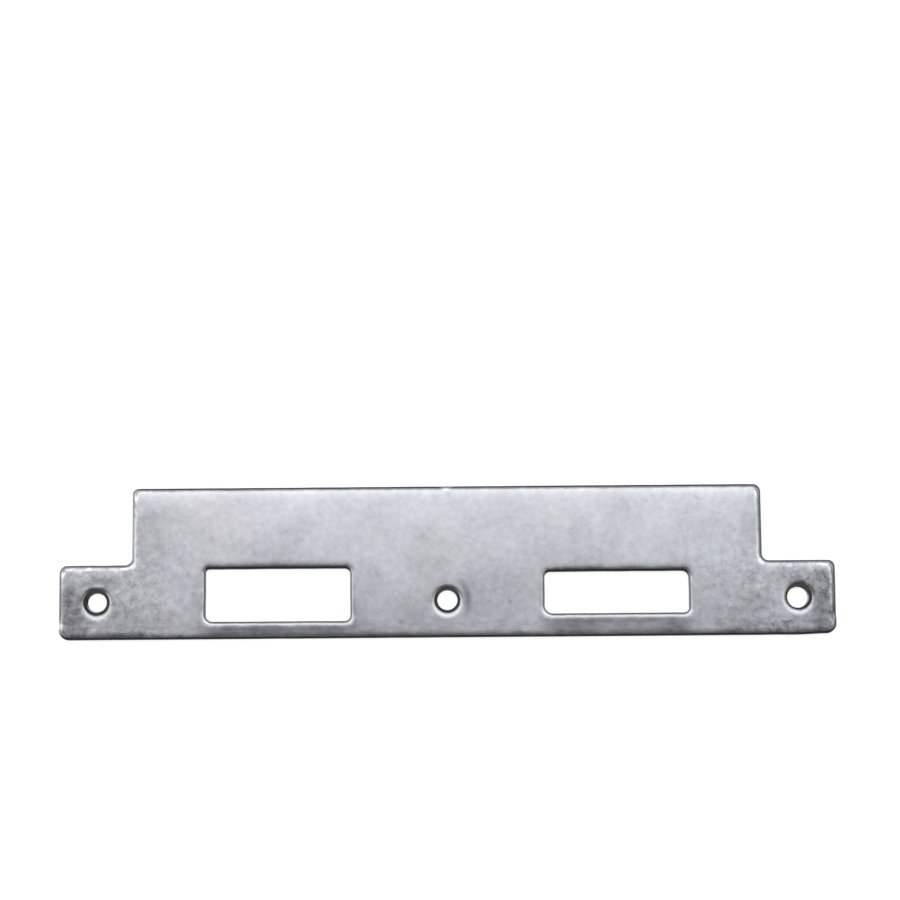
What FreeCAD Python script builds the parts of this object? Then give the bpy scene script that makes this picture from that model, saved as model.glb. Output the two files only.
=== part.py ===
import FreeCAD, Part
import os
import Sketcher

Vector = FreeCAD.Vector

# Strike plate for a long mortice lock: one flat piece of punched steel sheet.
# It lies on its back: X runs along the strip, +Y towards the lip, +Z out of the face.
# The origin is on the axis of the middle screw hole, in the plane of the back.

doc = FreeCAD.newDocument("door_strike_plate")


# Sizes in millimetres and degrees
sizes = doc.addObject("Spreadsheet::Sheet", "Sizes")
driving_sizes = [
    ("plate_thickness", 2.5, "steel sheet"),
    ("strip_width", 22.6, "strip that carries the screws, centred on them"),
    ("lip_length", 190.8, "lip, between its two ends"),
    ("ear_length", 22.1, "strip beyond the lip, at each end"),
    ("lip_reach", 34.7, "from the line of screws to the lip's free edge"),
    ("outer_corner_radius", 2.4, "corners of the strip's ends and of the lip"),
    ("root_radius", 2.2, "inner corners where the lip meets the strip"),
    ("window_spacing", 102.5, "between the middles of the two windows"),
    ("window_lift", 2.0, "middles of the windows above the line of screws"),
    ("latch_window_length", 43.7, "window for the latch"),
    ("latch_window_width", 16.0, "window for the latch"),
    ("bolt_window_length", 43.7, "window for the bolt"),
    ("bolt_window_width", 12.7, "window for the bolt"),
    ("window_corner_radius", 1.8, "corners of both windows"),
    ("screw_end_distance", 11.6, "from the strip's end to the middle of the end hole"),
    ("screw_hole_diameter", 6.2, "clear hole for the screw"),
    ("seat_width", 1.0, "countersunk ring around the hole, seen from the face"),
    ("seat_angle", 90.0, "whole angle of the seat"),
    ("seat_rim_radius", 1.6, "rounding between the seat and the face"),
    ("roll_width", 1.1, "punched edge: how far in the face is drawn down"),
    ("roll_drop", 0.24, "punched edge: how deep the face is drawn down"),
    ("roll_blend", 0.5, "punched edge: length of the blend into the face"),
    ("edge_radius", 0.4, "punched edge: rounding where it turns down the side"),
]
for row, (alias, value, meaning) in enumerate(driving_sizes, start=1):
    sizes.set(f"A{row}", alias)
    sizes.set(f"B{row}", str(value))
    sizes.set(f"C{row}", meaning)
    sizes.setAlias(f"B{row}", alias)
doc.recompute()

# Two points nearer than this are one point
TOUCH = 1e-6


# The plate's body and small helpers for its sketches
plate = doc.addObject("PartDesign::Body", "strike_plate")
plate.Label = "strike_plate"
plate.Placement = FreeCAD.Placement()


def start_of(line):
    """How a sketch's constraint names the first end of a line."""
    return line, 1


def end_of(line):
    """How a sketch's constraint names the second end of a line."""
    return line, 2


def centre_of(circle):
    """How a sketch's constraint names the middle of a circle."""
    return circle, 3


def sketch_axis(name):
    """How a sketch's constraint names its own X or Y axis."""
    return {"x": -1, "y": -2}[name]


ORIGIN = start_of(sketch_axis("x"))


def new_sketch(name):
    """A sketch of the plate's body, on its back plane."""
    sketch = plate.newObject("Sketcher::SketchObject", name)
    back_plane = next(f for f in plate.Origin.OriginFeatures if f.Role == "XY_Plane")
    sketch.AttachmentSupport = [(back_plane, "")]
    sketch.MapMode = "FlatFace"
    return sketch


def draw_loop(sketch, points):
    """Straight lines from point to point, closed and joined at their ends; gives the lines."""
    lines = []
    for here, there in zip(points, points[1:] + points[:1]):
        segment = Part.LineSegment(Vector(*here, 0), Vector(*there, 0))
        lines.append(sketch.addGeometry(segment, False))
    for line, after in zip(lines, lines[1:] + lines[:1]):
        sketch.addConstraint(Sketcher.Constraint("Coincident", *end_of(line), *start_of(after)))
    return lines


def dimension(sketch, kind, places, value, name, expression):
    """A named dimension of a sketch that follows the sheet of sizes."""
    index = sketch.addConstraint(Sketcher.Constraint(kind, *places, value))
    sketch.renameConstraint(index, name)
    sketch.setExpression(f"Constraints.{name}", expression)


def upright_edges(shape, is_wanted):
    """Names of the edges that run straight through the sheet and pass is_wanted(x, y)."""
    names = []
    for number, edge in enumerate(shape.Edges, start=1):
        box = edge.BoundBox
        through = abs(box.ZLength - sizes.plate_thickness) < TOUCH
        straight = box.XLength < TOUCH and box.YLength < TOUCH
        if through and straight and is_wanted(box.XMin, box.YMin):
            names.append(f"Edge{number}")
    return names


def round_edges(name, base, edge_names, expression):
    """A fillet on named edges of the feature before it."""
    fillet = plate.newObject("PartDesign::Fillet", name)
    fillet.Base = (base, edge_names)
    fillet.setExpression("Radius", expression)
    doc.recompute()
    return fillet


# Outline: a strip with a long lip on one side, padded to the sheet's thickness
half_width = sizes.strip_width / 2
half_lip = sizes.lip_length / 2
half_length = half_lip + sizes.ear_length
outline = new_sketch("OutlineSketch")
bottom, right_end, right_ear, lip_right, lip_edge, lip_left, left_ear, left_end = draw_loop(
    outline, [
        (-half_length, -half_width), (half_length, -half_width),
        (half_length, half_width), (half_lip, half_width),
        (half_lip, sizes.lip_reach), (-half_lip, sizes.lip_reach),
        (-half_lip, half_width), (-half_length, half_width),
    ])
for point, mirrored, axis in (
    (start_of(bottom), end_of(bottom), "y"),
    (start_of(lip_edge), end_of(lip_edge), "y"),
    (end_of(right_end), start_of(left_end), "y"),
    (start_of(right_end), end_of(right_end), "x"),
):
    outline.addConstraint(Sketcher.Constraint("Symmetric", *point, *mirrored, sketch_axis(axis)))
for line in (right_ear, left_ear):
    outline.addConstraint(Sketcher.Constraint("Horizontal", line))
for line in (lip_right, lip_left):
    outline.addConstraint(Sketcher.Constraint("Vertical", line))
for kind, places, value, name, size in (
    ("DistanceX", end_of(right_ear) + start_of(right_ear), sizes.ear_length, "ear", "ear_length"),
    ("DistanceY", start_of(right_end) + end_of(right_end), 2 * half_width, "width", "strip_width"),
    ("DistanceX", end_of(lip_edge) + start_of(lip_edge), 2 * half_lip, "lip", "lip_length"),
    ("DistanceY", ORIGIN + start_of(lip_edge), sizes.lip_reach, "reach", "lip_reach"),
):
    dimension(outline, kind, places, value, name, f"Sizes.{size}")

sheet = plate.newObject("PartDesign::Pad", "SheetPad")
sheet.Profile = outline
sheet.setExpression("Length", "Sizes.plate_thickness")
outline.Visibility = False
doc.recompute()


def is_root(x, y):
    """True at the two inner corners where the lip meets the strip."""
    return abs(abs(x) - half_lip) < TOUCH and abs(y - half_width) < TOUCH


corners = round_edges(
    "OuterCorners", sheet,
    upright_edges(sheet.Shape, lambda x, y: not is_root(x, y)),
    "Sizes.outer_corner_radius",
)
round_edges(
    "LipRoots", corners,
    upright_edges(corners.Shape, is_root),
    "Sizes.root_radius",
)


# Windows: one for the latch at the left, a narrower one for the bolt at the right
def cut_window(name, side, length, width):
    """A rounded rectangle through the sheet, on the side -1 or 1 of the middle hole."""
    half_x, half_y = getattr(sizes, length) / 2, getattr(sizes, width) / 2
    middle = Vector(side * sizes.window_spacing / 2, sizes.window_lift, 0)
    sketch = new_sketch(name + "Sketch")
    low, right, high, left = draw_loop(sketch, [
        (middle.x - half_x, middle.y - half_y), (middle.x + half_x, middle.y - half_y),
        (middle.x + half_x, middle.y + half_y), (middle.x - half_x, middle.y + half_y),
    ])
    centre = start_of(sketch.addGeometry(Part.Point(middle), True))
    sketch.addConstraint([
        Sketcher.Constraint("Horizontal", low),
        Sketcher.Constraint("Horizontal", high),
        Sketcher.Constraint("Vertical", right),
        Sketcher.Constraint("Vertical", left),
        Sketcher.Constraint("Symmetric", *start_of(low), *start_of(high), *centre),
    ])
    # A distance runs from left to right, so on the left it starts at the window
    across = ORIGIN + centre if side > 0 else centre + ORIGIN
    for kind, places, value, label, expression in (
        ("DistanceX", start_of(low) + end_of(low), 2 * half_x, "length", f"Sizes.{length}"),
        ("DistanceY", start_of(right) + end_of(right), 2 * half_y, "width", f"Sizes.{width}"),
        ("DistanceX", across, abs(middle.x), "offset", "Sizes.window_spacing / 2"),
        ("DistanceY", ORIGIN + centre, middle.y, "lift", "Sizes.window_lift"),
    ):
        dimension(sketch, kind, places, value, label, expression)

    pocket = plate.newObject("PartDesign::Pocket", name)
    pocket.Profile = sketch
    pocket.Type = "ThroughAll"
    pocket.Reversed = True
    sketch.Visibility = False
    doc.recompute()

    def is_window_corner(x, y):
        return (abs(abs(x - middle.x) - half_x) < TOUCH
                and abs(abs(y - middle.y) - half_y) < TOUCH)

    round_edges(
        name + "Corners", pocket,
        upright_edges(pocket.Shape, is_window_corner),
        "Sizes.window_corner_radius",
    )


cut_window("LatchWindow", -1, "latch_window_length", "latch_window_width")
cut_window("BoltWindow", 1, "bolt_window_length", "bolt_window_width")


# Screw holes: three in a row, countersunk from the face
screws = new_sketch("ScrewSketch")
screws.setExpression("AttachmentOffset.Base.z", "Sizes.plate_thickness")
hole_radius = sizes.screw_hole_diameter / 2
screw_pitch = half_length - sizes.screw_end_distance
PITCH = "Sizes.lip_length / 2 + Sizes.ear_length - Sizes.screw_end_distance"
left_hole, middle_hole, right_hole = (
    screws.addGeometry(Part.Circle(Vector(x, 0, 0), Vector(0, 0, 1), hole_radius), False)
    for x in (-screw_pitch, 0, screw_pitch)
)
screws.addConstraint([
    Sketcher.Constraint("Coincident", *centre_of(middle_hole), *ORIGIN),
    Sketcher.Constraint("PointOnObject", *centre_of(left_hole), sketch_axis("x")),
    Sketcher.Constraint("PointOnObject", *centre_of(right_hole), sketch_axis("x")),
    Sketcher.Constraint("Equal", left_hole, middle_hole),
    Sketcher.Constraint("Equal", middle_hole, right_hole),
])
dimension(
    screws, "Diameter", (middle_hole,), 2 * hole_radius, "hole", "Sizes.screw_hole_diameter")
dimension(screws, "DistanceX", centre_of(left_hole) + ORIGIN, screw_pitch, "left_pitch", PITCH)
dimension(screws, "DistanceX", ORIGIN + centre_of(right_hole), screw_pitch, "right_pitch", PITCH)
doc.recompute()

holes = plate.newObject("PartDesign::Hole", "ScrewHoles")
holes.Profile = screws
screws.Visibility = False
doc.recompute()
holes.ThreadType = "None"
holes.DepthType = "ThroughAll"
holes.setExpression("Diameter", "Sizes.screw_hole_diameter")
holes.HoleCutType = "Countersink"
holes.HoleCutCustomValues = True
holes.setExpression("HoleCutDiameter", "Sizes.screw_hole_diameter + 2 * Sizes.seat_width")
holes.setExpression("HoleCutCountersinkAngle", "Sizes.seat_angle")
doc.recompute()


# Punched edges: the punch draws the face down along every edge that it shears
def face_side(shape):
    """The flat face that looks along +Z at the sheet's full thickness."""
    level = [f for f in shape.Faces
             if isinstance(f.Surface, Part.Plane) and f.BoundBox.ZLength < TOUCH]
    return max(level, key=lambda f: f.BoundBox.ZMin)


def is_circle(edge):
    return isinstance(edge.Curve, Part.Circle) and edge.isClosed()


def edges_at(shape, height, is_wanted):
    """Names of the edges that lie level at this height and pass is_wanted(edge)."""
    return [f"Edge{number}" for number, edge in enumerate(shape.Edges, start=1)
            if abs(edge.BoundBox.ZMin - height) < TOUCH
            and abs(edge.BoundBox.ZMax - height) < TOUCH and is_wanted(edge)]


def is_sheared(edge):
    return not is_circle(edge)


seat_rims = round_edges(
    "SeatRims", holes,
    edges_at(holes.Shape, sizes.plate_thickness, is_circle),
    "Sizes.seat_rim_radius",
)

roll_over = plate.newObject("PartDesign::Chamfer", "RollOver")
roll_over.Base = (seat_rims, edges_at(seat_rims.Shape, sizes.plate_thickness, is_sheared))
roll_over.ChamferType = "Two distances"
roll_over.setExpression("Size", "Sizes.roll_width")
roll_over.setExpression("Size2", "Sizes.roll_drop")
doc.recompute()
drawn_in = half_length - face_side(roll_over.Shape).BoundBox.XMax
if abs(drawn_in - sizes.roll_width) > TOUCH:
    roll_over.FlipDirection = True
    doc.recompute()

roll_blend = round_edges(
    "RollBlend", roll_over,
    edges_at(roll_over.Shape, sizes.plate_thickness, is_sheared),
    "Sizes.roll_blend / tan(atan(Sizes.roll_drop / Sizes.roll_width) / 2)",
)
shoulder = sizes.plate_thickness - sizes.roll_drop
edge_rounding = round_edges(
    "EdgeRounding", roll_blend,
    edges_at(roll_blend.Shape, shoulder, is_sheared),
    "Sizes.edge_radius",
)
plate.Tip = edge_rounding
doc.recompute()


# Check every object, then write the plate as one solid
for thing in doc.Objects:
    if "Invalid" in thing.State or "Error" in thing.State:
        raise RuntimeError(f"{thing.Name} did not build: {thing.State}")
    if thing.TypeId == "Sketcher::SketchObject" and not thing.FullyConstrained:
        raise RuntimeError(f"{thing.Name} is not fully constrained")

solid = plate.Shape
if solid.isNull() or not solid.isValid() or len(solid.Solids) != 1:
    raise RuntimeError(f"{plate.Label} is not one valid solid")
flat_blank = sheet.Shape.Volume
if not 0 < solid.Volume < flat_blank:
    raise RuntimeError("the windows and holes took nothing away")

os.makedirs("parts", exist_ok=True)
solid.exportStep(f"parts/{plate.Label}.step")
box = solid.BoundBox
print(f"{plate.Label}: {box.XLength:.2f} x {box.YLength:.2f} x {box.ZLength:.2f} mm, "
      f"{solid.Volume:.1f} cubic mm")
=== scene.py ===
import math

import bpy
import numpy as np
from mathutils import Matrix, Vector
from mathutils.geometry import delaunay_2d_cdt


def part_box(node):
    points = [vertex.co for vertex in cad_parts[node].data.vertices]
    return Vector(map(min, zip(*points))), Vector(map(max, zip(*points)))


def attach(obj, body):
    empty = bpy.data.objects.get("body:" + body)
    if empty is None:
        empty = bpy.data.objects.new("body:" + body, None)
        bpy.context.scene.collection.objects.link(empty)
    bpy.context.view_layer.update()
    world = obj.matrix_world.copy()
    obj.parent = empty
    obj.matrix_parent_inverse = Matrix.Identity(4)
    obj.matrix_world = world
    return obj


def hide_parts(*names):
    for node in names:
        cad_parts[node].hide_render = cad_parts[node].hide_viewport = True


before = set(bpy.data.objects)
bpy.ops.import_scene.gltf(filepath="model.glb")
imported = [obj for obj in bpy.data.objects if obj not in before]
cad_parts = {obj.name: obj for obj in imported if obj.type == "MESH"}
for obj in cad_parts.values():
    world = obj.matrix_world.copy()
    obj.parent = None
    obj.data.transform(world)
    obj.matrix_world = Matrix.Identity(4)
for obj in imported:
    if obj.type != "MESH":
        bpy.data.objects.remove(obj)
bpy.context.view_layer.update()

# The blank: a long narrow strip with a wide lip on one side, punched from flat cold-rolled steel in one
# stroke. Each corner keeps the radius that the worn tool left there. Sizes are in millimetres, and every
# outline runs with the steel on its left.
mm = 0.001
face_low, face_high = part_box("strike_plate")
end_x = face_high.x / mm
lip_y = face_high.y / mm
strip_y = -face_low.y / mm
thickness = face_high.z / mm
lip_x = 95.4
point_spacing = 0.35


def followed(corners):
    """Points along a closed outline of rounded square corners, and the way into the steel at each."""
    points, inward = [], []
    for i, (x, y, radius) in enumerate(corners):
        corner = np.array([x, y])
        next_x, next_y, next_radius = corners[(i + 1) % len(corners)]
        arriving = corner - np.array(corners[i - 1][:2])
        arriving = arriving / np.linalg.norm(arriving)
        leaving = np.array([next_x, next_y]) - corner
        run = np.linalg.norm(leaving) - radius - next_radius
        leaving = leaving / np.linalg.norm(leaving)
        side = math.copysign(1, arriving[0] * leaving[1] - arriving[1] * leaving[0])
        left = np.array([-arriving[1], arriving[0]])
        centre = corner - arriving * radius + left * side * radius
        steps = math.ceil(radius * math.pi / 2 / point_spacing) + 2
        for k in range(steps + 1):
            angle = math.pi / 2 * k / steps
            way = left * math.cos(angle) - arriving * side * math.sin(angle)
            points.append(centre - way * side * radius)
            inward.append(way)
        steps = round(run / point_spacing)
        for k in range(1, steps):
            points.append(corner + leaving * (radius + run * k / steps))
            inward.append(inward[-1])
    return np.array(points), np.array(inward)


outline = followed([
    (-end_x, -strip_y, 3.2),
    (end_x, -strip_y, 3.1),
    (end_x, strip_y, 2.0),
    (lip_x, strip_y, 2.0),
    (lip_x, lip_y, 2.2),
    (-lip_x, lip_y, 1.6),
    (-lip_x, strip_y, 2.2),
    (-end_x, strip_y, 2.3),
])

# The windows: one for the latch and a narrower one for the bolt, punched right through the strip after its
# outline. Each corner has a radius of its own here too.
latch_low, latch_high = (-73.1, -6.1), (-29.4, 9.88)
bolt_low, bolt_high = (29.4, -4.35), (73.1, 8.35)


def window(low, high, radii):
    """The outline of a window between two opposite corners, with radii clockwise from the lower left."""
    (left, bottom), (right, top) = low, high
    corners = [(left, bottom), (left, top), (right, top), (right, bottom)]
    return followed([(x, y, radius) for (x, y), radius in zip(corners, radii)])


latch_window = window(latch_low, latch_high, (2.2, 1.1, 1.7, 1.7))
bolt_window = window(bolt_low, bolt_high, (2.6, 1.7, 2.0, 1.7))

# The screw holes: three in a row along the strip, pierced and then dished from the face for countersunk
# screws. Each has its place along X, its radius, the width of its seat, and how far the seat is off axis.
screw_x = 105.9
screw_holes = [
    (-screw_x, 2.86, 0.98, (-0.14, -0.20)),
    (0.0, 3.01, 0.77, (0.0, -0.18)),
    (screw_x, 3.18, 0.74, (0.26, 0.08)),
]
ring_steps = 72


def ring(x, radius):
    """Points round a hole, which keep the steel on their left, and the way into the steel at each."""
    turns = np.linspace(0, -2 * math.pi, ring_steps, endpoint=False)
    way = np.stack([np.cos(turns), np.sin(turns)], 1)
    return np.array([x, 0.0]) + way * radius, way


# The rolled edges: the punch draws the face down before it shears the steel, so an edge is a shoulder that
# steepens into a tight round above the cut wall. A roll is a list of distances from the edge, and the slope
# there in degrees. The seats are rolls too, as cones with a rounded rim.
def rolled(distances, degrees):
    """Makes the function that tells how far the face has dropped at a distance from such an edge."""
    fine = np.linspace(0, distances[-1], 600)
    slopes = np.tan(np.radians(np.interp(fine, distances, degrees)))
    steps = (slopes[1:] + slopes[:-1]) / 2 * (fine[1] - fine[0])
    drops = np.concatenate([np.cumsum(steps[::-1])[::-1], [0]])

    def drop(distance):
        return np.interp(distance, fine, drops)

    return drop


outer_roll = rolled(
    [0, 0.10, 0.20, 0.33, 0.48, 0.63, 0.82, 1.00, 1.25, 1.55, 1.95, 2.40, 3.00],
    [76, 66, 59, 51, 43, 33, 21, 13, 7, 4, 2.4, 1.2, 0])
window_roll = rolled(
    [0, 0.12, 0.26, 0.38, 0.50, 0.62, 0.76, 0.94, 1.15, 1.45, 1.75, 2.10, 2.70],
    [78, 68, 58, 49, 37, 24, 14, 7, 4.2, 2.5, 1.4, 0.7, 0])
web_roll = rolled(
    [0, 0.12, 0.25, 0.38, 0.50, 0.62, 0.80, 1.00, 1.20, 1.42, 1.62, 1.80, 2.10],
    [76, 66, 54, 45, 39, 33, 21, 10, 6.2, 4.2, 2.2, 0.8, 0])
seat_roll = rolled(
    [0, 0.66, 0.90, 1.18, 1.48, 1.80, 2.25, 2.80],
    [50, 47, 41, 31, 21, 13, 5, 0])


def eased(value, low, high):
    """0 below low, 1 above high, smooth between."""
    t = np.clip((value - low) / (high - low), 0, 1)
    return t * t * (3 - 2 * t)


def roll_width(x, y):
    """The factor by which a roll is wider: more by the lip's free edge and on the ears, and uneven."""
    uneven = np.sin(x * 0.83 + 1.7 * np.sin(x * 0.21)) * np.sin(y * 0.9 + 0.7 + x * 0.05)
    uneven += 0.7 * np.sin(x * 2.1 + 0.4) * np.sin(y * 1.7)
    by_lip_edge = eased(y, lip_y - 9, lip_y - 4)
    on_ears = eased(abs(x), lip_x - 5, lip_x - 3) * (1 + 1.6 * eased(y, 4, 8))
    return 1 + 0.45 * by_lip_edge + 0.12 * on_ears + 0.08 * uneven


def outline_drop(places, distance):
    """How far the outline's edge draws the face down: tighter along its foot, wider at the strip's ends."""
    x, y = places.T
    by_foot = eased(-y, strip_y - 5, strip_y - 2)
    on_ends = eased(abs(x), end_x - 5, end_x - 2) * (0.22 + 0.10 * np.sign(x))
    return outer_roll(distance / (roll_width(x, y) - 0.36 * by_foot + on_ends))


def window_drop(places, distance):
    """The same for a window, whose roll is broader on the thin web below it."""
    x, y = places.T
    share = distance / (roll_width(x, y) + 0.08)
    on_web = eased(-y, -2, 5)
    return window_roll(share) * (1 - on_web) + web_roll(share) * on_web


def seat_drop(centre, radius, width):
    """Makes the same for a seat, which goes by its own centre; its rim is rounded wider below than above."""
    def drop(places, distance):
        out = places - centre
        from_centre = np.linalg.norm(out, axis=1)
        tightness = 1.25 + 0.30 * out[:, 1] / from_centre
        past_cone = from_centre - radius - width
        return seat_roll(1 + past_cone * np.where(past_cone < 0, 1 / width, tightness))

    return drop


class Edge:
    """A punched edge: its drop is how far it draws the face down, and its offsets are how far from it the
    rings of points lie that follow it. Ragged and torn are how rough it was cut."""

    def __init__(self, points_and_inward, drop, offsets, ragged, torn):
        self.points, self.inward = points_and_inward
        self.drop = drop
        self.offsets = offsets
        self.ragged = ragged
        self.torn = torn


roll_offsets = np.array([0, 0.02, 0.05, 0.10, 0.16, 0.24, 0.34, 0.46, 0.60, 0.76, 0.94, 1.15])
seat_offsets = np.array([0, 0.25, 0.50, 0.75, 0.88, 1.00, 1.15, 1.30, 1.45, 1.60, 1.75, 1.90, 2.10, 2.30])
edges = [Edge(outline, outline_drop, roll_offsets, ragged=0.02, torn=0.02)]
for cut in (latch_window, bolt_window):
    edges.append(Edge(cut, window_drop, roll_offsets, ragged=0.02, torn=0.02))
for x, radius, width, (off_x, off_y) in screw_holes:
    seat = seat_drop((x + off_x, off_y), radius, width)
    edges.append(Edge(ring(x, radius), seat, seat_offsets * width, ragged=0.012, torn=0.004))

# Marks of making and handling in the steel: knocks in the edges, the thin webs below the windows, which the
# punch bent down, and the faint crown and waves of the sheet. A knock is X, Y, size and depth, which is
# negative where it stands up.
knocks = [
    (0.0, 34.7, 0.9, -0.30),
    (-94.9, 29.7, 0.6, 0.25),
    (-94.9, 26.9, 0.7, 0.20),
    (-117.0, -7.2, 0.9, 0.22),
    (116.7, -6.2, 0.9, 0.22),
    (-108.5, 10.4, 0.9, -0.14),
    (-97.6, 10.4, 0.9, -0.14),
    (-117.0, 10.9, 1.3, 0.45),
    (117.0, 10.9, 1.4, 0.45),
    (-95.0, 34.3, 1.3, 0.35),
    (95.0, 34.3, 1.3, 0.35),
]
webs = [(latch_low, latch_high, 0.085), (bolt_low, bolt_high, 0.065)]
web_bend = 0.2
crown = 0.00024
crown_y = 14.0
wave_height = 0.012


def face_height(places, distances):
    """Height of the face: flat steel less every roll, lean, wave and knock."""
    x, y = places.T
    height = np.full(len(places), thickness)
    for edge, distance in zip(edges, distances):
        height -= edge.drop(places, distance)
    for low, high, lean in webs:
        across = eased(x, low[0] - 5, low[0] + 7) * (1 - eased(x, high[0] - 7, high[0] + 5))
        below = np.clip(low[1] + web_bend - y, 0, None)
        height -= lean * across * (np.sqrt(below**2 + web_bend**2) - web_bend)
    wave = np.sin(x * 0.071 + 0.6) * np.sin(y * 0.13 + x * 0.017 + 1.1)
    wave += 0.6 * np.sin(x * 0.163 - y * 0.09 + 2.0) * np.sin(y * 0.21 - x * 0.051)
    height -= wave_height * (1 + wave / 1.6)
    height -= crown * (y - crown_y) ** 2
    for knock_x, knock_y, size, depth in knocks:
        height -= depth * np.exp(-((x - knock_x) ** 2 + (y - knock_y) ** 2) / (2 * size**2))
    return np.minimum(height, thickness)


# The plate's surface. Rings of points follow each edge from the flat back, round a slight burr, up the cut
# wall, whose lower half is torn where the steel broke, and over the roll onto the face. A fine net of
# triangles fills the face between the innermost rings, and a coarse one fills the back.
back_inset = 0.34
burr = 0.06
burr_rings = 4
wall_steps = 8
ragged_length = 9
end_step = 0.10
worn_away = 0.38
worn_from_x = 104
rough = np.random.default_rng(7)


def ragged_inset(edge):
    """How far a ragged cut lies inside the true outline at each point, in slow waves."""
    size = len(edge.points)
    waves = np.fft.rfft(rough.standard_normal(size))
    waves *= np.exp(-(np.arange(len(waves)) / (size * point_spacing / ragged_length)) ** 2)
    inset = np.fft.irfft(waves, size)
    return inset * (edge.ragged / inset.std())


def worn_outline(edge, inset):
    """The outline's inset: never proud, with a small step in each end, and a foot worn away at the right."""
    x, y = edge.points.T
    inset = np.maximum(inset, 0)
    step = np.where(x < 0, eased(y, -7.6, -6.9), eased(y, -6.8, -6.1))
    inset += end_step * eased(abs(x), end_x - 1, end_x) * step
    worn_corner = eased(x, worn_from_x, end_x) * np.maximum(edge.inward[:, 1], 0)
    return inset + worn_away * worn_corner * (y < 0)


batch = 1500


def distance_to(points, places):
    """Distance from each place to a closed outline, taken to its nearest straight piece."""
    result = np.empty(len(places))
    for first in range(0, len(places), batch):
        some = places[first:first + batch]
        nearest = ((some[:, None, :] - points[None, :, :]) ** 2).sum(2).argmin(1)
        best = np.full(len(some), np.inf)
        for step in (-1, 0):
            a = points[(nearest + step) % len(points)]
            b = points[(nearest + step + 1) % len(points)]
            along = np.clip(((some - a) * (b - a)).sum(1) / ((b - a) ** 2).sum(1), 0, 1)
            best = np.minimum(best, np.linalg.norm(some - a - (b - a) * along[:, None], axis=1))
        result[first:first + batch] = best
    return result


def back_and_wall(edge, wall_top):
    """Rings of points from the back, round the burr and up the wall to just below its top."""
    size = len(edge.points)
    rings = [np.column_stack([edge.points + edge.inward * back_inset, np.zeros(size)])]
    for turn in np.linspace(0, math.pi / 2, burr_rings):
        places = edge.points + edge.inward * (burr * (1 - math.sin(turn)))
        rings.append(np.column_stack([places, np.full(size, burr * (1 - math.cos(turn)))]))
    torn = np.zeros(size)
    for k in range(1, wall_steps):
        share = k / wall_steps
        torn = 0.6 * torn + rough.random(size) * edge.torn
        fracture = 1 - eased(share, 0.45, 0.7)
        places = edge.points + edge.inward * (torn * fracture)[:, None]
        rings.append(np.column_stack([places, burr + (wall_top - burr) * share]))
    return rings


vertices, quads, face_rings, back_rings = [], [], [], []
count = 0
for edge in edges:
    size = len(edge.points)
    inset = ragged_inset(edge)
    if edge is edges[0]:
        inset = worn_outline(edge, inset)
    edge.points = edge.points + edge.inward * inset[:, None]
    roll_rings = []
    for offset in edge.offsets:
        places = edge.points + edge.inward * offset
        distances = [
            np.full(size, offset) if other is edge else distance_to(other.points, places)
            for other in edges
        ]
        roll_rings.append(np.column_stack([places, face_height(places, distances)]))
    rings = back_and_wall(edge, roll_rings[0][:, 2]) + roll_rings
    starts = [count + size * k for k in range(len(rings))]
    here = np.arange(size)
    beside = np.roll(here, -1)
    for lower, upper in zip(starts, starts[1:]):
        quads += np.column_stack([lower + here, lower + beside, upper + beside, upper + here]).tolist()
    vertices += rings
    back_rings.append(starts[0] + here)
    face_rings.append(starts[-1] + here)
    count += size * len(rings)
vertices = np.concatenate(vertices)


def inside(points, places):
    """Whether each place lies inside a closed outline: a line from it crosses an odd number of sides."""
    a = points
    b = np.roll(points, -1, axis=0)
    rise = np.where(b[:, 1] == a[:, 1], 1e-9, b[:, 1] - a[:, 1])
    result = np.zeros(len(places), bool)
    for first in range(0, len(places), batch):
        x, y = places[first:first + batch, 0:1], places[first:first + batch, 1:2]
        crosses = (a[None, :, 1] > y) != (b[None, :, 1] > y)
        at = a[None, :, 0] + (y - a[None, :, 1]) * ((b[:, 0] - a[:, 0]) / rise)[None, :]
        result[first:first + batch] = (crosses & (x < at)).sum(1) % 2 == 1
    return result


def filled(rings, spacing, clearance):
    """New points on a staggered net between rings of points, and the triangles that join them all."""
    row = spacing * math.sqrt(3) / 2
    net = np.array([
        (x, y)
        for k, y in enumerate(np.arange(-strip_y, lip_y, row))
        for x in np.arange(-end_x + (k % 2) * spacing / 2, end_x, spacing)
    ])
    outlines = [vertices[numbers][:, :2] for numbers in rings]

    def in_steel(places):
        result = inside(outlines[0], places)
        for hole in outlines[1:]:
            result &= ~inside(hole, places)
        return result

    net = net[in_steel(net)]
    for points in outlines:
        net = net[distance_to(points, net) > clearance]
    known = np.concatenate([*outlines, net])
    numbers = np.concatenate([*rings, len(vertices) + np.arange(len(net))])
    ties, owner = [], []
    for k, points in enumerate(outlines):
        first, size = len(owner), len(points)
        ties += [(first + i, first + (i + 1) % size) for i in range(size)]
        owner += [k] * size
    owner = np.array(owner + [-1] * len(net))
    made = delaunay_2d_cdt([Vector(point) for point in known], ties, [], 0, 1e-7, True)
    corners, made_from = made[2], made[3]
    triangles = np.array([[made_from[i][0] for i in triangle] for triangle in corners])

    # Only a triangle with all its corners on one ring can lie outside the steel
    on_one_ring = (owner[triangles] == owner[triangles[:, :1]]).all(1) & (owner[triangles[:, 0]] >= 0)
    keep = np.ones(len(triangles), bool)
    keep[on_one_ring] = in_steel(known[triangles[on_one_ring]].mean(1))
    return net, numbers[triangles[keep]]


face_net, face_triangles = filled(face_rings, spacing=0.52, clearance=0.3)
distances = [distance_to(edge.points, face_net) for edge in edges]
vertices = np.concatenate([vertices, np.column_stack([face_net, face_height(face_net, distances)])])
back_net, back_triangles = filled(back_rings, spacing=3.0, clearance=0.8)
vertices = np.concatenate([vertices, np.column_stack([back_net, np.zeros(len(back_net))])])

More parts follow.
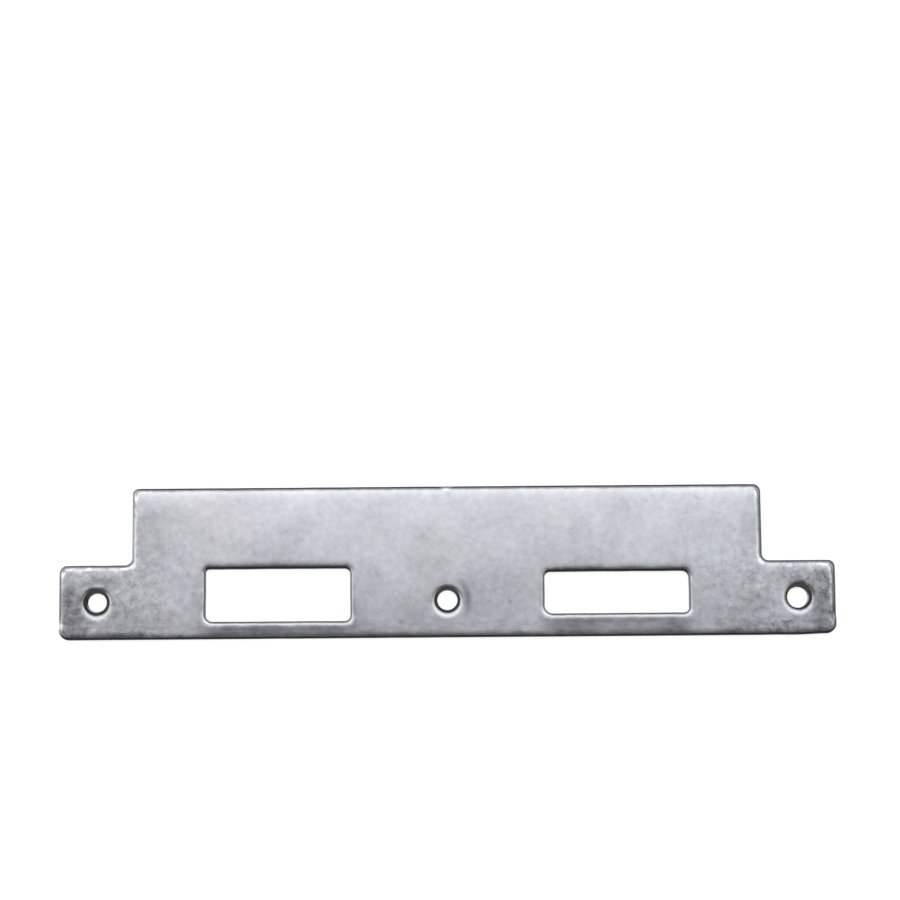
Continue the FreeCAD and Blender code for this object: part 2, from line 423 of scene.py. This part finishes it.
mesh = bpy.data.meshes.new("strike_plate_face")
faces = quads + face_triangles.tolist() + back_triangles[:, ::-1].tolist()
mesh.from_pydata((vertices * mm).tolist(), [], faces)
mesh.validate()
mesh.polygons.foreach_set("use_smooth", [True] * len(mesh.polygons))
plate = bpy.data.objects.new("dressed_strike_plate", mesh)
bpy.context.scene.collection.objects.link(plate)


# The finish: bright zinc plated over the steel, satin and faintly blue, clouded by handling and stacking.
# Sums and products of sockets add their Math nodes, so each layer of the finish reads as an expression.
class Socket:
    """A node's output, or only the tree that nodes are added to."""

    def __init__(self, tree, socket=None):
        self.tree = tree
        self.socket = socket

    def node(self, kind, settings, inputs, output=0):
        """Adds a node: first its settings, then the values or links of its sockets."""
        made = self.tree.nodes.new(kind)
        for name, value in settings.items():
            setattr(made, name, value)
        for name, value in inputs.items():
            if isinstance(value, Socket):
                self.tree.links.new(value.socket, made.inputs[name])
            else:
                made.inputs[name].default_value = value
        return Socket(self.tree, made.outputs[output])

    def maths(self, operation, *others):
        return self.node("ShaderNodeMath", {"operation": operation}, dict(enumerate((self, *others))))

    def __add__(self, other):
        return self.maths("ADD", other)

    def __sub__(self, other):
        return self.maths("SUBTRACT", other)

    def __rsub__(self, other):
        return self.node("ShaderNodeMath", {"operation": "SUBTRACT"}, {0: other, 1: self})

    def __mul__(self, other):
        return self.maths("MULTIPLY", other)

    __radd__ = __add__
    __rmul__ = __mul__

    def vector_maths(self, operation, inputs, output="Vector"):
        return self.node("ShaderNodeVectorMath", {"operation": operation}, {0: self, **inputs}, output)

    def scaled(self, x, y, z):
        return self.vector_maths("MULTIPLY", {1: (x, y, z)})

    def moved(self, x, y, z):
        return self.vector_maths("ADD", {1: (x, y, z)})

    def length(self):
        return self.vector_maths("LENGTH", {}, "Value")

    def part(self, axis):
        """The X, Y or Z of this vector."""
        return self.node("ShaderNodeSeparateXYZ", {}, {"Vector": self}, axis)

    def eased(self, low, high):
        """0 at low, 1 at high, smooth between; low may be the larger."""
        return self.node("ShaderNodeMapRange", {"interpolation_type": "SMOOTHSTEP"}, {
            "Value": self, "From Min": low, "From Max": high})

    def mixed(self, here, there):
        """The colour here where this mask is 0, and there where it is 1."""
        return self.node("ShaderNodeMix", {"data_type": "RGBA"}, {0: self, 6: here, 7: there}, 2)

    def noise(self, per_mm, detail, gain, bend=0.0):
        """Clouded noise, about 0 on average, where this vector is the place in millimetres."""
        return self.node("ShaderNodeTexNoise", {}, {
            "Vector": self, "Scale": per_mm, "Detail": detail, "Roughness": gain, "Distortion": bend}) - 0.5

    def cells(self, per_mm):
        """How far this place is from the nearest of the points scattered round it."""
        return self.node("ShaderNodeTexVoronoi", {}, {"Vector": self, "Scale": per_mm}, "Distance")


zinc = bpy.data.materials.new("zinc_plated_steel")
zinc.use_nodes = True
on_zinc = Socket(zinc.node_tree)
place = on_zinc.node("ShaderNodeTexCoord", {}, {}, "Object").scaled(1 / mm, 1 / mm, 1 / mm)
across = place.part("X")
up_face = place.part("Y")
facing = on_zinc.node("ShaderNodeTexCoord", {}, {}, "Normal")
facing_x = facing.part("X")
facing_y = facing.part("Y")
upright = facing.part("Z")

clouds = place.noise(0.055, 6, 0.66, 0.3)
mottle = place.moved(31, 7, 0).noise(0.45, 3, 0.66, 0.2)
grain = place.moved(5, 60, 0).noise(2.6, 3, 0.8)
smears = place.moved(8, 2, 0).scaled(0.22, 1, 0).noise(0.9, 3, 0.7)
hue = place.moved(90, 20, 0).noise(0.07, 3, 0.5, 0.4)
tearing = place.scaled(1, 1, 0.25).noise(2.2, 3, 0.7)
ragged = place.moved(0, 44, 0).noise(0.16, 4, 0.7) * 1.1
slightly_ragged = ragged * 0.35


def from_oval(x, y, half_width, half_height, rim):
    """How far each place is from an oval's middle, against 1 at its rim, which a noise makes ragged."""
    return place.moved(-x, -y, 0).scaled(1 / half_width, 1 / half_height, 0).length() + rim


# Soft ragged ovals in the zinc: smudges of old oil and dirt, darker patches on the lip's sides and at the
# ears' ends, and painted shade and painted light where marked below. Each has its X, Y, half width and half
# height, and how much darker it is, or lighter where that is negative.
smudges_and_painted_shade = [
    (-85.6, 25.5, 6, 4, 0.08),
    (-92, 20, 7, 12, 0.20),
    (97, 20, 8, 15, 0.24),
    (-19, -6, 9, 5, -0.13),
    (-13, 2, 14, 8, -0.04),
    # Painted shade that dims the highlight below the left ear's top edge.
    (-107, 8.6, 8, 1.8, 0.10),
    (103, -8, 6, 3, 0.12),
    (-102.5, 2.5, 3, 6, 0.10),
    (19.0, -0.9, 0.7, 0.7, 0.24),
    # Painted shade and painted light on the webs below the windows, and painted shade in narrow strips
    # beside the windows' inner ends.
    (-51.2, -8.0, 20, 1.1, 0.12),
    (51.2, -6.4, 20, 0.9, 0.20),
    (51.2, -8.7, 21, 1.6, -0.09),
    (28.5, 2, 0.9, 7.5, 0.20),
    (-28.4, 1, 0.9, 7.0, 0.14),
    (-61, 15.5, 7, 3, 0.05),
    (-30.7, 19.5, 8, 4, 0.04),
    (-7, 21, 6, 3, 0.05),
    (-5, 10.8, 5, 2.5, 0.06),
    (10, 22.6, 4, 3, 0.04),
    (19, 19, 6, 3.5, -0.05),
    (40, 20.8, 3.5, 7, 0.08),
    (55.5, 27, 6, 3.5, 0.05),
    (76.6, 20.5, 5, 4, 0.05),
    (-10, 27, 9, 3.5, -0.05),
    (-98, 7, 7, 3, 0.08),
    (-84, -3, 12, 8, -0.06),
    (-83, 22, 9, 9, 0.05),
    (91, -1, 6, 4, 0.08),
    (107.5, 6.6, 8, 3.6, 0.24),
    (114.5, -3, 6, 12, 0.47),
    (-114, -2, 6, 11, 0.45),
]
smudged_and_shaded = sum(from_oval(*oval, ragged).eased(1.5, 0.2) * depth for *oval, depth in smudges_and_painted_shade)

# Scuffed arcs beside the middle and the left hole, as a turning screw head leaves them. Each has its centre,
# radius, the way it lies from the centre, how far along that it begins, and how dark it is.
scuff_arcs = [
    ((0.0, 0.0), 6.3, (0.97, 0.22, 0), 3.6, 0.38),
    ((-104.0, -2.9), 9.1, (0.0, 1.0, 0), 7.0, 0.27),
]
scuffed = 0
for (x, y), radius, toward, begin, depth in scuff_arcs:
    out = place.moved(-x, -y, 0).scaled(1, 1, 0)
    from_arc = (out.length() + ragged * 1.1 - radius).maths("ABSOLUTE")
    along = out.vector_maths("DOT_PRODUCT", {1: toward}, "Value")
    scuffed += from_arc.eased(1.9, 0.1) * along.eased(begin, radius - 0.3) * depth

# Painted highlights: spots and stretches along edges and corners painted brighter, and made a little
# glossier.
# Each has its X, Y, half width and half height, how much brighter it is, and how much of the painted dark
# line of the edge is left out there.
painted_highlight_spots = [
    (0.0, 34.0, 1.3, 0.8, 0.20, 0.25),
    (-108.4, 10.1, 0.7, 0.7, 0.42, 0.05),
    (-97.6, 10.3, 1.2, 0.6, 0.34, 0.05),
    (-95.0, 11.0, 1.0, 1.2, 0.20, 0.00),
    (95.0, 11.0, 1.0, 1.2, 0.18, 0.00),
    (-117.1, -7.2, 0.9, 1.0, 0.55, 0.80),
    (116.5, -6.4, 0.5, 1.3, 0.60, 0.10),
    (-116.3, 9.2, 0.8, 1.7, 0.32, 0.10),
    (-114.8, 10.2, 1.9, 0.7, 0.28, 0.05),
    (114.4, 10.1, 2.3, 0.7, 0.20, 0.00),
    (116.2, 8.8, 0.8, 1.8, 0.26, 0.00),
    (116.0, 1.5, 0.6, 8.5, 0.14, 0.00),
    (-94.3, 32.3, 0.7, 1.6, 0.34, 0.00),
    (-92.8, 33.8, 1.8, 0.7, 0.28, 0.00),
    (94.3, 32.2, 0.7, 1.7, 0.40, 0.00),
    (92.9, 33.8, 1.6, 0.7, 0.28, 0.00),
    (-73.2, -6.3, 1.2, 1.2, 0.10, 0.15),
    (-29.0, -6.5, 1.1, 1.2, 0.08, 0.15),
    (29.3, -4.5, 1.3, 1.4, 0.06, 0.15),
    (73.5, -4.7, 1.1, 1.2, 0.08, 0.15),
    (-94.5, 21.0, 0.6, 9.5, 0.13, 0.45),
    (94.2, 16.0, 0.6, 5.0, 0.10, 0.00),
]
painted_highlight, edge_shade_left_out = 0, 0
for *oval, gain, shade_left_out in painted_highlight_spots:
    away = from_oval(*oval, slightly_ragged)
    painted_highlight = (away.eased(1.3, 0.5) * gain).maths("MAXIMUM", painted_highlight)
    edge_shade_left_out = (away.eased(2.2, 1.0) * shade_left_out).maths("MAXIMUM", edge_shade_left_out)
edge_shade_left_out = edge_shade_left_out * upright.eased(0.15, 0.45)

# Specks of dirt, small painted highlights as glints, and fine dark scratches in the zinc. The specks and
# scratches come in patches, and most of all three lie near the strip's ends.
near_ends = across.maths("ABSOLUTE").eased(60, 108) * (1 - up_face.eased(9, 16) * 0.7) * 0.85 + 0.15
patches = place.moved(70, 12, 0).noise(0.11, 3, 0.6)
broken = place.noise(0.9, 3, 0.7)
dirt = place.scaled(1, 1, 0.2).cells(0.62) + broken * 0.7 - patches * 0.3
specks = dirt.eased(0.20, 0.02) * near_ends
glint_cells = place.moved(3, 9, 0).scaled(1, 1, 0.2).cells(0.30) + broken * 0.3
painted_glints = glint_cells.eased(0.13, 0.04) * near_ends
scratch = place.moved(12, 33, 0).noise(0.22, 2, 0.6, 0.8).maths("ABSOLUTE")
scratches = scratch.eased(0.020, 0.004) * (patches + near_ends * 0.16).eased(0.08, 0.18)

# The face's colour: every layer in turn makes the zinc lighter or darker, the painted highlights and painted
# shade among them. Its tint goes in clouds from lilac at the left to blue at the right.
webs_only = up_face.eased(-4, -8)
tone = 1 + clouds * 0.75 + mottle * (0.46 + near_ends * 0.70 - webs_only * 0.12) + smears * webs_only * 0.7
tone = tone + grain * 0.08 - smudged_and_shaded
tone = tone - specks * 0.16 - scratches * (0.08 + near_ends * 0.20) + painted_glints * 0.16 - scuffed + painted_highlight * 1.2
blue_zinc = (0.620, 0.645, 0.695, 1)
lilac_zinc = (0.645, 0.642, 0.680, 1)
face_colour = (hue * 1.5 - across * 0.0016).eased(-0.4, 0.4).mixed(blue_zinc, lilac_zinc)
face_colour = face_colour.vector_maths("SCALE", {"Scale": tone})

# The edges' colour, painted shade and painted light: the tight round of each edge is painted dark as shade
# and streaked, darkest where it faces the strip's foot, and painted paler as light where it faces the lip,
# on the webs and ears, and on the sides across the strip. The cut walls are bare streaked steel, and the
# seats' painted shade is a little browner.
shaded_round = ((0.040, 0.039, 0.037, 1), (0.078, 0.076, 0.072, 1))
lit_lip_facing_round = (0.15, 0.15, 0.155, 1)
lit_left_side = (0.26, 0.26, 0.27, 1)
lit_right_side = (0.21, 0.21, 0.215, 1)
shaded_end_side = (0.12, 0.12, 0.125, 1)
shaded_foot_side = (0.026, 0.026, 0.025, 1)
cut_steel = ((0.19, 0.188, 0.185, 1), (0.32, 0.318, 0.315, 1))
shaded_seat_round = (0.075, 0.073, 0.062, 1)
shaded_seat_cone = (0.135, 0.132, 0.118, 1)
shaded_seat_bore = (0.070, 0.068, 0.060, 1)
steep = upright.eased(0.89, 0.74) * (1 - edge_shade_left_out)
wall = upright.eased(0.2, 0.05)
from_nearest = across.maths("WRAP", screw_x / 2, -screw_x / 2)
from_screw = (from_nearest * from_nearest + up_face * up_face).maths("SQRT")
beyond_seats = from_screw.eased(5.0, 6.0)
streaks = (tearing + 0.5).eased(0.25, 0.75)
facing_lip = facing_y.eased(0.15, 0.40) * up_face.eased(20, 16)
round_colour = facing_lip.mixed(streaks.mixed(*shaded_round), lit_lip_facing_round)
round_colour = beyond_seats.mixed(shaded_seat_round, round_colour)
side_light_and_shade = facing_x.eased(0.5, -0.5).mixed(across.eased(70, 118).mixed(lit_right_side, shaded_end_side), lit_left_side)
on_sides = facing_x.maths("ABSOLUTE").eased(0.35, 0.75) * beyond_seats
round_colour = on_sides.mixed(round_colour, side_light_and_shade)
edge_colour = (wall * beyond_seats).mixed(round_colour, streaks.mixed(*cut_steel))
# Painted shade on what faces the strip's foot, in the seats as well.
facing_foot = facing_y.eased(-0.33, -0.72) * (1 - edge_shade_left_out) * (1 - wall) * beyond_seats
facing_foot = facing_foot + facing_y.eased(-0.29, -0.56) * (1 - beyond_seats)
foot_shade_colour = beyond_seats.mixed(wall.mixed(shaded_seat_cone, shaded_seat_bore), shaded_foot_side)
colour = facing_foot.mixed(steep.mixed(face_colour, edge_colour), foot_shade_colour)

# The surface: satin, duller where it is clouded, dirty or cut, glossier at the painted highlights, and
# finely uneven all over, with the streaks of the tear in the cut walls.
satin = 0.34
roughness = satin + clouds * 0.20 + mottle * 0.16 + specks * 0.15 + steep * 0.25 + wall * 0.4 - painted_highlight * 0.3
relief = mottle * 0.012 + grain * 0.003 + tearing * wall * 0.03
bumped = on_zinc.node("ShaderNodeBump", {}, {"Height": relief, "Distance": mm})
shader = zinc.node_tree.nodes["Principled BSDF"]
shader.inputs["Metallic"].default_value = 1.0
zinc.node_tree.links.new(colour.socket, shader.inputs["Base Color"])
zinc.node_tree.links.new(roughness.socket, shader.inputs["Roughness"])
zinc.node_tree.links.new(bumped.socket, shader.inputs["Normal"])
mesh.materials.append(zinc)
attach(plate, "root")
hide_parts("strike_plate")

# The table: a broad pale sheet of paper that the plate lies on. Seen by the camera and in the metal it is
# nearly plain white, and the rest of its look comes from the lamps, so the plate's soft shadow stays.
half_sheet = 4.0
sheet_gap = 0.00002
paper_white = (0.92, 0.92, 0.92, 1)
shadow_grey = (0.45, 0.45, 0.45, 1)
plain_strength = 0.82
floor_mesh = bpy.data.meshes.new("table_sheet")
sheet_corners = [(-1, -1), (1, -1), (1, 1), (-1, 1)]
floor_mesh.from_pydata([(x * half_sheet, y * half_sheet, 0) for x, y in sheet_corners], [], [(0, 1, 2, 3)])
floor = bpy.data.objects.new("table_sheet", floor_mesh)
floor.location.z = -sheet_gap
bpy.context.scene.collection.objects.link(floor)
paper = bpy.data.materials.new("pale_paper")
paper.use_nodes = True
paper.node_tree.nodes.remove(paper.node_tree.nodes["Principled BSDF"])
on_paper = Socket(paper.node_tree)
plain_rays = ("Is Camera Ray", "Is Glossy Ray", "Is Transmission Ray")
plain = sum(on_paper.node("ShaderNodeLightPath", {}, {}, ray) for ray in plain_rays).maths("MINIMUM", 1.0)
lit = on_paper.node("ShaderNodeBsdfDiffuse", {}, {"Color": paper_white})
shaded = on_paper.node("ShaderNodeBsdfDiffuse", {}, {"Color": shadow_grey})
white = on_paper.node("ShaderNodeEmission", {}, {"Color": (1, 1, 1, 1), "Strength": plain_strength})
bright = on_paper.node("ShaderNodeAddShader", {}, {0: shaded, 1: white})
blend = on_paper.node("ShaderNodeMixShader", {}, {0: plain, 1: lit, 2: bright})
paper.node_tree.links.new(blend.socket, paper.node_tree.nodes["Material Output"].inputs["Surface"])
floor_mesh.materials.append(paper)

# The room: pale near the horizon, as a studio's backdrop is, and dim overhead, so that the soft lamps shape
# the metal.
horizon_grey = (0.7, 0.7, 0.7, 1)
overhead_grey = (0.057, 0.059, 0.068, 1)
world = bpy.data.worlds.new("studio_room")
bpy.context.scene.world = world
world.use_nodes = True
climb = Socket(world.node_tree).node("ShaderNodeTexCoord", {}, {}, "Generated").part("Z")
room_colour = climb.eased(0.10, 0.82).mixed(horizon_grey, overhead_grey)
world.node_tree.links.new(room_colour.socket, world.node_tree.nodes["Background"].inputs["Color"])

# The lamps: one broad soft box beyond the lip, low enough that the steel nearest to it is brightest, and a
# smaller one at each end. All of them point at the middle of the plate.
plate_middle = Vector((0, 0.012, 0))


def soft_box(name, at, width, depth, radiance):
    lamp = bpy.data.lights.new(name, "AREA")
    lamp.shape = "RECTANGLE"
    lamp.size = width
    lamp.size_y = depth
    lamp.energy = radiance * math.pi * width * depth
    lamp_object = bpy.data.objects.new(name, lamp)
    lamp_object.location = at
    lamp_object.rotation_mode = "QUATERNION"
    lamp_object.rotation_quaternion = (plate_middle - Vector(at)).to_track_quat("-Z", "Y")
    bpy.context.scene.collection.objects.link(lamp_object)


soft_box("lip_side_box", (0, 0.219, 0.398), 0.75, 0.345, 1.48)
soft_box("left_box", (-0.50, 0.02, 0.34), 0.42, 0.36, 1.2)
soft_box("right_box", (0.36, 0.02, 0.42), 0.42, 0.20, 0.85)

# The camera: high above the plate and leaning a little from the strip's side, as the photograph was taken,
# and rolled by half a degree.
lean = math.radians(9.07)
roll = math.radians(-0.464)
look_at = Vector((1.16, 46.09, 0)) * mm
camera_distance = 915.7 * mm
back = Vector((0, -math.sin(lean), math.cos(lean)))
level = Vector((1, 0, 0))
above = back.cross(level)
right = math.cos(roll) * level + math.sin(roll) * above
up = math.cos(roll) * above - math.sin(roll) * level
camera_data = bpy.data.cameras.new("camera")
camera_data.lens = 120
camera_data.sensor_width = 36
camera_data.clip_start = 0.01
camera_data.clip_end = 100
camera = bpy.data.objects.new("camera", camera_data)
turn = Matrix((right, up, back)).transposed()
camera.matrix_world = Matrix.Translation(look_at + back * camera_distance) @ turn.to_4x4()
bpy.context.scene.collection.objects.link(camera)
bpy.context.scene.camera = camera
bpy.context.scene.view_settings.view_transform = "Standard"
